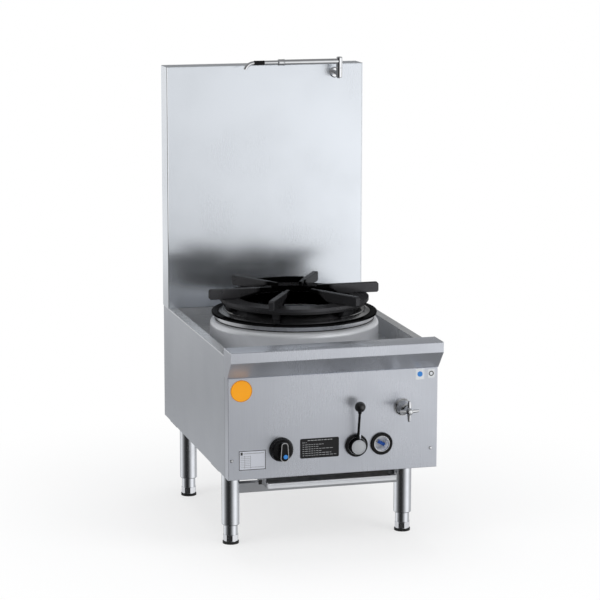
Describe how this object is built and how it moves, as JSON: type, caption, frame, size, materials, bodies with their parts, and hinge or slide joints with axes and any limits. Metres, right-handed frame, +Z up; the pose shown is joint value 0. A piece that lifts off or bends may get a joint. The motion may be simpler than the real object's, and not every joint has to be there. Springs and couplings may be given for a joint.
{
  "type": "stockpot range",
  "caption": "Gas stockpot range on legs, with a sunken deck, raised burner collar, lift-off trivet, splashback with a swinging pot filler, panel controls and a pull-out drip tray.",
  "frame": {"origin": "on the floor under the middle of the whole range, at the middle of its width and depth", "axes": "+X to the user's right when facing the control panel, +Y away from the user towards the splashback, +Z up"},
  "size_m": [0.6, 0.9, 1.304],
  "materials": {
    "stainless_body": "brushed stainless steel, number 4 finish",
    "stainless_splash": "fine brushed stainless steel",
    "satin_ring": "spun satin stainless steel",
    "frame_steel": "plain steel section",
    "black_enamel": "gloss black enamel on cast iron",
    "black_iron": "matt black cast iron",
    "burner_iron": "heat-darkened cast iron",
    "chrome": "polished chrome",
    "bright_tube": "polished stainless tube",
    "black_plastic": "satin black phenolic",
    "black_plate": "black printed metal plate",
    "silver_plate": "silver printed metal plate",
    "silver_trim": "bright silver line",
    "orange_badge": "gloss orange disc",
    "white_sticker": "plain pale label film",
    "blue_sleeve": "blue ceramic sleeve",
    "brass": "turned brass",
    "gas_steel": "plain steel pipe",
    "copper_tube": "drawn copper tube",
    "foot_steel": "turned stainless steel"
  },
  "bodies": {
    "range_body": {"left_side_panel": "stainless_body", "right_side_panel": "stainless_body", "control_panel": "stainless_body", "front_rail": "stainless_body", "hob_deck": "stainless_body", "rear_panel": "stainless_body", "splashback_back": "stainless_splash", "splashback_front": "stainless_splash", "burner_collar": "satin_ring", "lip_ring": "satin_ring", "base_frame": "frame_steel", "leg_mount_plates": "frame_steel", "tray_runners": "frame_steel", "burner_bracket": "frame_steel", "burner_body": "burner_iron", "burner_cap": "burner_iron", "tap_bonnet": "chrome", "faucet_flange": "chrome", "faucet_body": "chrome", "sight_tube": "bright_tube", "lever_bezel": "black_plastic", "sight_bezel": "black_plastic", "instruction_plate": "black_plate", "rating_plate": "silver_plate", "badge_disc": "orange_badge", "panel_stickers": "white_sticker", "igniter_rod": "blue_sleeve", "injector": "brass", "tap_valve": "brass", "pilot_gas_valve": "brass", "main_gas_cock": "brass", "gas_manifold": "gas_steel", "injector_pipe": "gas_steel", "panel_screws": "gas_steel", "pilot_burner": "copper_tube", "water_inlet_pipe": "copper_tube", "water_riser_pipe": "copper_tube", "leg_crossbars": "foot_steel", "leg_front_left": "foot_steel", "leg_front_right": "foot_steel", "leg_rear_left": "foot_steel", "leg_rear_right": "foot_steel"},
    "pilot_stem": {"knob_shaft": "gas_steel"},
    "pilot_knob": {"knob_body": "black_plastic", "knob_trim": "silver_trim"},
    "power_lever": {"lever_hub": "satin_ring", "lever_rod": "chrome", "lever_ball": "black_plastic"},
    "water_tap": {"tap_handle": "chrome", "tap_spindle": "chrome"},
    "pot_filler_arm": {"faucet_arm": "chrome", "spout_tube": "chrome", "spout_sleeve": "black_plastic"},
    "drip_tray": {"drip_tray": "stainless_splash"},
    "lower_ring": {"lower_ring": "black_enamel"},
    "trivet": {"trivet": "black_iron"},
    "foot_front_left": {"foot_front_left": "foot_steel"},
    "foot_front_right": {"foot_front_right": "foot_steel"},
    "foot_rear_left": {"foot_rear_left": "foot_steel"},
    "foot_rear_right": {"foot_rear_right": "foot_steel"}
  },
  "joints": [
    {"name": "pilot_push", "type": "slide", "parent": "range_body", "child": "pilot_stem", "axis": [0, 1, 0], "range_m": [0, 0.003], "stiffness_N_per_m": 600, "springref_m": -0.002},
    {"name": "pilot_turn", "type": "hinge", "parent": "pilot_stem", "child": "pilot_knob", "pos_m": [-0.1496, -0.4, 0.302], "axis": [0, -1, 0], "range_deg": [0, 90]},
    {"name": "lever_turn", "type": "hinge", "parent": "range_body", "child": "power_lever", "pos_m": [0.0638, -0.395, 0.3], "axis": [0, -1, 0], "range_deg": [0, 90]},
    {"name": "tap_turn", "type": "hinge", "parent": "range_body", "child": "water_tap", "pos_m": [0.1974, -0.43, 0.4], "axis": [0, -1, 0], "range_deg": [0, 180]},
    {"name": "filler_swing", "type": "hinge", "parent": "range_body", "child": "pot_filler_arm", "pos_m": [0.212, 0.301, 1.293], "axis": [0, 0, 1], "range_deg": [0, 180]},
    {"name": "tray_slide", "type": "slide", "parent": "range_body", "child": "drip_tray", "axis": [0, -1, 0], "range_m": [0, 0.45]},
    {"name": "ring_lift", "type": "slide", "parent": "range_body", "child": "lower_ring", "axis": [0, 0, 1], "range_m": [0, 0.12]},
    {"name": "trivet_lift", "type": "slide", "parent": "lower_ring", "child": "trivet", "axis": [0, 0, 1], "range_m": [0, 0.15]},
    {"name": "foot_front_left_screw", "type": "slide", "parent": "range_body", "child": "foot_front_left", "axis": [0, 0, -1], "range_m": [0, 0.025]},
    {"name": "foot_front_right_screw", "type": "slide", "parent": "range_body", "child": "foot_front_right", "axis": [0, 0, -1], "range_m": [0, 0.025]},
    {"name": "foot_rear_left_screw", "type": "slide", "parent": "range_body", "child": "foot_rear_left", "axis": [0, 0, -1], "range_m": [0, 0.025]},
    {"name": "foot_rear_right_screw", "type": "slide", "parent": "range_body", "child": "foot_rear_right", "axis": [0, 0, -1], "range_m": [0, 0.025]}
  ]
}
